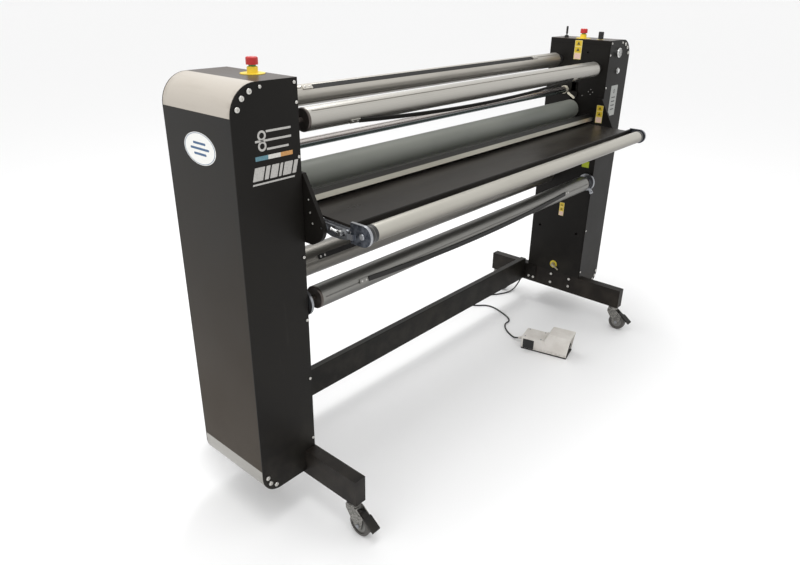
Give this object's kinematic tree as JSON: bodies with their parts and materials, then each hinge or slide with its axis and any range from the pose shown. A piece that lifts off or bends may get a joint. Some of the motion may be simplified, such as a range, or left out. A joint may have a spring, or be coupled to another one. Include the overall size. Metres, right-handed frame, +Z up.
{
  "type": "wide-format cold roll laminator",
  "caption": "Floor-standing cold roll laminator: two cabinets on caster legs carry nip rolls, film shafts, a feed table and a foot switch on a cord",
  "frame": {"origin": "on the floor, midway between the two cabinets in X and at mid-depth of the cabinets in Y", "axes": "+X to the operator's right along the rolls, -Y towards the operator, +Z up"},
  "size_m": [2.1, 0.775, 1.33],
  "materials": {
    "black_sheet": "fine-textured black powder coat",
    "side_panel": "dark grey painted sheet",
    "cream_trim": "cream gloss paint",
    "top_panel": "grey-beige paint",
    "foot_trim": "silver paint",
    "leg_paint": "black powder coat on steel tube",
    "beam_paint": "black powder coat on steel tube",
    "bracket_black": "black coated steel plate",
    "hold_down": "black anodised profile, worn bright face",
    "silicone_roll": "grey silicone, satin",
    "shaft_alu": "satin anodised aluminium tube",
    "strip_black": "black rubber strip",
    "roller_tube": "satin aluminium tube",
    "table_paint": "dark textured coat",
    "zinc": "bright zinc plated steel",
    "screw_steel": "bright button-head screws",
    "bush_plastic": "off-white plain bearing plastic",
    "caster_rubber": "black thermoplastic tread",
    "estop_yellow": "yellow plastic",
    "estop_red": "red plastic",
    "black_plastic": "black plastic",
    "black_rubber": "black rubber",
    "motor_paint": "grey painted casting",
    "cylinder_alu": "extruded aluminium",
    "brass_fitting": "brass air fitting",
    "pedal_shell": "light grey moulded plastic",
    "relief_plastic": "light grey strain relief",
    "cord_pvc": "black rubber sheath",
    "chrome_trim": "bright chrome"
  },
  "bodies": {
    "frame": {"cabinet_frames": "black_sheet", "front_plates": "black_sheet", "side_panels": "side_panel", "corner_trims": "cream_trim", "top_panels": "top_panel", "foot_trims": "foot_trim", "legs": "leg_paint", "cross_beam": "beam_paint", "table_side_brackets": "bracket_black", "hold_down_bar": "hold_down", "lift_cylinders": "cylinder_alu", "gear_motor": "motor_paint", "estop_bodies": "estop_yellow", "lever_boot": "black_rubber", "air_inlet": "brass_fitting", "case_screws": "screw_steel", "take_up_hubs": "bracket_black", "shaft_bushes": "bush_plastic", "pressure_gauge": "chrome_trim", "button_housing": "chrome_trim", "rear_inlets": "black_plastic", "pedal_base": "pedal_shell", "pedal_hood": "pedal_shell", "pedal_strain_relief": "relief_plastic", "pedal_cord": "cord_pvc"},
    "carriers": {"roll_carriers": "zinc"},
    "top_roll_body": {"top_roll": "silicone_roll"},
    "lower_roll_body": {"lower_roll": "silicone_roll"},
    "front_supply": {"front_supply_shaft": "shaft_alu", "front_supply_strips": "strip_black"},
    "rear_supply": {"rear_supply_shaft": "shaft_alu", "rear_supply_strips": "strip_black"},
    "lower_rear": {"lower_rear_shaft": "shaft_alu", "lower_rear_strips": "strip_black"},
    "take_up": {"take_up_shaft": "shaft_alu", "take_up_strips": "strip_black"},
    "idler": {"idler_bar": "shaft_alu"},
    "table": {"feed_table": "table_paint", "table_arms": "zinc", "roller_end_brackets": "zinc"},
    "front_roller_body": {"front_roller": "roller_tube"},
    "clamp_left": {"clamp_lever_left": "zinc"},
    "clamp_right": {"clamp_lever_right": "zinc"},
    "tension": {"tension_lever": "zinc"},
    "stop_left": {"estop_cap_left": "estop_red"},
    "stop_right": {"estop_cap_right": "estop_red"},
    "lever": {"lift_lever": "black_plastic"},
    "knob": {"pressure_knob": "black_plastic"},
    "button": {"push_button": "chrome_trim"},
    "treadle": {"pedal_treadle": "black_rubber"},
    "fork_front_left": {"caster_fork_front_left": "zinc"},
    "wheel_front_left": {"caster_wheel_front_left": "caster_rubber"},
    "brake_front_left": {"caster_brake_front_left": "zinc"},
    "fork_front_right": {"caster_fork_front_right": "zinc"},
    "wheel_front_right": {"caster_wheel_front_right": "caster_rubber"},
    "brake_front_right": {"caster_brake_front_right": "zinc"},
    "fork_rear_left": {"caster_fork_rear_left": "zinc"},
    "wheel_rear_left": {"caster_wheel_rear_left": "caster_rubber"},
    "fork_rear_right": {"caster_fork_rear_right": "zinc"},
    "wheel_rear_right": {"caster_wheel_rear_right": "caster_rubber"}
  },
  "joints": [
    {"name": "roll_lift", "type": "slide", "parent": "frame", "child": "carriers", "axis": [0, 0, 1], "range_m": [0, 0.035]},
    {"name": "lower_roll_turn", "type": "hinge", "parent": "frame", "child": "lower_roll_body", "pos_m": [0, 0, 0.9097], "axis": [1, 0, 0], "continuous": true},
    {"name": "top_roll_turn", "type": "hinge", "parent": "carriers", "child": "top_roll_body", "pos_m": [0, 0, 0.992], "axis": [1, 0, 0], "continuous": true},
    {"name": "front_supply_turn", "type": "hinge", "parent": "frame", "child": "front_supply", "pos_m": [0, -0.098, 1.171], "axis": [1, 0, 0], "continuous": true},
    {"name": "rear_supply_turn", "type": "hinge", "parent": "frame", "child": "rear_supply", "pos_m": [0, 0.088, 1.195], "axis": [1, 0, 0], "continuous": true},
    {"name": "lower_rear_turn", "type": "hinge", "parent": "frame", "child": "lower_rear", "pos_m": [0, 0.072, 0.694], "axis": [1, 0, 0], "continuous": true},
    {"name": "take_up_turn", "type": "hinge", "parent": "frame", "child": "take_up", "pos_m": [0, -0.116, 0.677], "axis": [1, 0, 0], "continuous": true},
    {"name": "idler_turn", "type": "hinge", "parent": "frame", "child": "idler", "pos_m": [0, 0.045, 1.07], "axis": [1, 0, 0], "continuous": true},
    {"name": "table_tilt", "type": "hinge", "parent": "frame", "child": "table", "pos_m": [0, -0.203, 0.917], "axis": [-1, 0, 0], "range_deg": [0, 70]},
    {"name": "front_roller_turn", "type": "hinge", "parent": "table", "child": "front_roller_body", "pos_m": [0, -0.332, 0.921], "axis": [1, 0, 0], "continuous": true},
    {"name": "clamp_turn_left", "type": "hinge", "parent": "table", "child": "clamp_left", "pos_m": [-0.838, -0.262, 0.917], "axis": [-1, 0, 0], "range_deg": [-50, 60]},
    {"name": "clamp_turn_right", "type": "hinge", "parent": "table", "child": "clamp_right", "pos_m": [0.838, -0.262, 0.917], "axis": [-1, 0, 0], "range_deg": [-50, 60]},
    {"name": "tension_turn", "type": "hinge", "parent": "frame", "child": "tension", "pos_m": [0.837, -0.116, 0.677], "axis": [1, 0, 0], "range_deg": [-30, 40]},
    {"name": "stop_push_left", "type": "slide", "parent": "frame", "child": "stop_left", "axis": [0, 0, -1], "range_m": [0, 0.004], "stiffness_N_per_m": 1200, "springref_m": -0.001},
    {"name": "stop_push_right", "type": "slide", "parent": "frame", "child": "stop_right", "axis": [0, 0, -1], "range_m": [0, 0.004], "stiffness_N_per_m": 1200, "springref_m": -0.001},
    {"name": "lever_tilt", "type": "hinge", "parent": "frame", "child": "lever", "pos_m": [0.89, 0.088, 1.284], "axis": [1, 0, 0], "range_deg": [-14, 14]},
    {"name": "knob_turn", "type": "hinge", "parent": "frame", "child": "knob", "pos_m": [0.89, -0.073, 1.284], "axis": [0, 0, 1], "range_deg": [-270, 270]},
    {"name": "button_push", "type": "slide", "parent": "frame", "child": "button", "axis": [0, 1, 0], "range_m": [0, 0.003], "stiffness_N_per_m": 600, "springref_m": -0.0005},
    {"name": "treadle_press", "type": "hinge", "parent": "frame", "child": "treadle", "pos_m": [0.46544, -0.21851, 0.023], "axis": [0.9744, 0.225, 0], "range_deg": [0, 9], "stiffness_Nm_per_rad": 3, "springref_deg": -4.58},
    {"name": "swivel_front_left", "type": "hinge", "parent": "frame", "child": "fork_front_left", "pos_m": [-0.87, -0.326, 0.1], "axis": [0, 0, 1], "continuous": true},
    {"name": "roll_front_left", "type": "hinge", "parent": "fork_front_left", "child": "wheel_front_left", "pos_m": [-0.87, -0.355, 0.0375], "axis": [1, 0, 0], "continuous": true},
    {"name": "brake_press_front_left", "type": "hinge", "parent": "fork_front_left", "child": "brake_front_left", "pos_m": [-0.87, -0.359, 0.0786], "axis": [1, 0, 0], "range_deg": [0, 9]},
    {"name": "swivel_front_right", "type": "hinge", "parent": "frame", "child": "fork_front_right", "pos_m": [0.87, -0.326, 0.1], "axis": [0, 0, 1], "continuous": true},
    {"name": "roll_front_right", "type": "hinge", "parent": "fork_front_right", "child": "wheel_front_right", "pos_m": [0.87, -0.355, 0.0375], "axis": [1, 0, 0], "continuous": true},
    {"name": "brake_press_front_right", "type": "hinge", "parent": "fork_front_right", "child": "brake_front_right", "pos_m": [0.87, -0.359, 0.0786], "axis": [1, 0, 0], "range_deg": [0, 9]},
    {"name": "swivel_rear_left", "type": "hinge", "parent": "frame", "child": "fork_rear_left", "pos_m": [-0.87, 0.326, 0.1], "axis": [0, 0, 1], "continuous": true},
    {"name": "roll_rear_left", "type": "hinge", "parent": "fork_rear_left", "child": "wheel_rear_left", "pos_m": [-0.87, 0.297, 0.0375], "axis": [1, 0, 0], "continuous": true},
    {"name": "swivel_rear_right", "type": "hinge", "parent": "frame", "child": "fork_rear_right", "pos_m": [0.87, 0.326, 0.1], "axis": [0, 0, 1], "continuous": true},
    {"name": "roll_rear_right", "type": "hinge", "parent": "fork_rear_right", "child": "wheel_rear_right", "pos_m": [0.87, 0.297, 0.0375], "axis": [1, 0, 0], "continuous": true}
  ],
  "couplings": [
    {"joint": "top_roll_turn", "follows": "lower_roll_turn", "ratio": -1}
  ]
}
